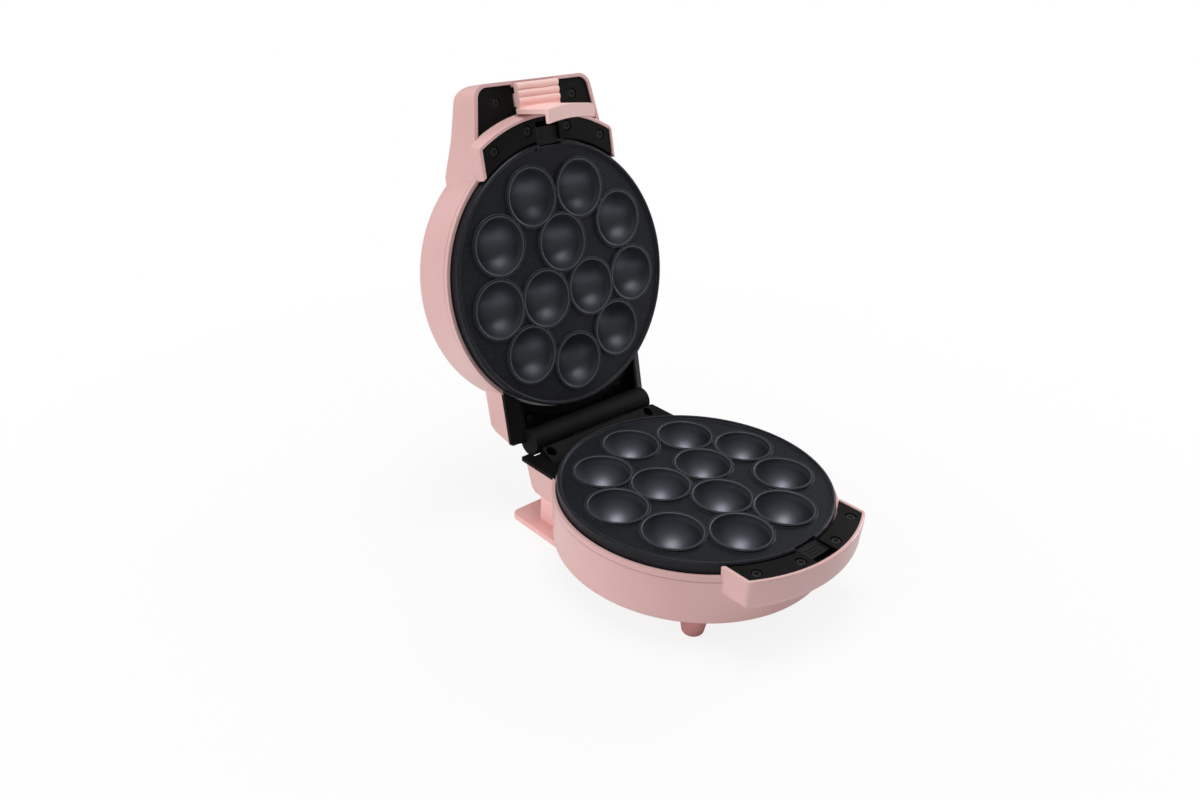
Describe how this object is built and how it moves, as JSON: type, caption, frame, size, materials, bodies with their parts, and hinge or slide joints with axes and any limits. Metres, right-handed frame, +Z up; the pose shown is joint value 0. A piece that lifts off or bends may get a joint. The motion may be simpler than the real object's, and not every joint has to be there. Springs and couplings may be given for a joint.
{
  "type": "cake pop maker",
  "caption": "Countertop cake pop maker with a hinged lid, facing non-stick cavity plates, sliding plate catches and a swinging front latch, shown open.",
  "frame": {"origin": "on the table, under the middle of the bounding box of the opened product", "axes": "+X across, to the right of someone facing the front; +Y from the front handle to the hinge; +Z up"},
  "size_m": [0.1776, 0.289, 0.2721],
  "materials": {
    "housing_pink": "satin dusty pink",
    "trim_pink": "satin salmon pink",
    "cover_black": "matte black",
    "button_black": "matte black, ribbed",
    "nonstick": "black non-stick coating",
    "pan_bright": "bright sheet",
    "element_sheath": "dull sheath",
    "saddle_steel": "plain steel",
    "screw_black": "black oxide",
    "screw_steel": "zinc plated",
    "spring_steel": "bright wire",
    "pin_steel": "ground",
    "grommet_black": "soft black",
    "ceramic": "cream",
    "lens_red": "clear red",
    "lamp_glass": "clear"
  },
  "bodies": {
    "base": {"base_element": "element_sheath", "base_element_saddles": "saddle_steel", "base_handle_cover": "cover_black", "base_handle_screws": "screw_black", "base_hinge_cover": "cover_black", "base_hinge_screws": "screw_black", "base_housing": "housing_pink", "base_pan_screws": "screw_steel", "base_plate": "nonstick", "base_reflector": "pan_bright", "base_release_spring": "spring_steel", "cord_grommet": "grommet_black", "foot_screws": "screw_steel", "front_foot_left": "trim_pink", "front_foot_right": "trim_pink", "hinge_pin": "pin_steel", "rear_stand": "trim_pink", "stand_screws": "screw_steel", "terminal_block": "ceramic", "thermal_fuse": "saddle_steel", "thermostat": "ceramic"},
    "lid": {"lid_housing": "housing_pink", "lid_plate": "nonstick", "lid_reflector": "pan_bright", "lid_element": "element_sheath", "lid_element_saddles": "saddle_steel", "lid_pan_screws": "screw_steel", "lid_handle_cover": "cover_black", "lid_handle_screws": "screw_black", "lid_release_spring": "spring_steel", "lid_hinge_cover": "cover_black", "lid_hinge_screws": "screw_black", "lid_outer_cover": "cover_black", "lid_outer_screws": "screw_black", "latch_pin": "pin_steel", "latch_spring": "spring_steel", "indicator_lenses": "lens_red", "indicator_lamps": "lamp_glass"},
    "latch": {"latch": "trim_pink"},
    "base_release": {"base_release_button": "button_black"},
    "lid_release": {"lid_release_button": "button_black"}
  },
  "joints": [
    {"name": "lid_hinge", "type": "hinge", "parent": "base", "child": "lid", "pos_m": [0, 0.05917, 0.056], "axis": [1, 0, 0], "range_deg": [0, 103.8]},
    {"name": "latch_pivot", "type": "hinge", "parent": "lid", "child": "latch", "pos_m": [0, 0.12552, 0.25907], "axis": [-1, 0, 0], "range_deg": [0, 8], "stiffness_Nm_per_rad": 0.6, "springref_deg": -6.88},
    {"name": "base_release_slide", "type": "slide", "parent": "base", "child": "base_release", "axis": [0, -1, 0], "range_m": [0, 0.0028], "stiffness_N_per_m": 300, "springref_m": -0.002},
    {"name": "lid_release_slide", "type": "slide", "parent": "lid", "child": "lid_release", "axis": [0, 0.2385, 0.9711], "range_m": [0, 0.0028], "stiffness_N_per_m": 300, "springref_m": -0.002}
  ]
}
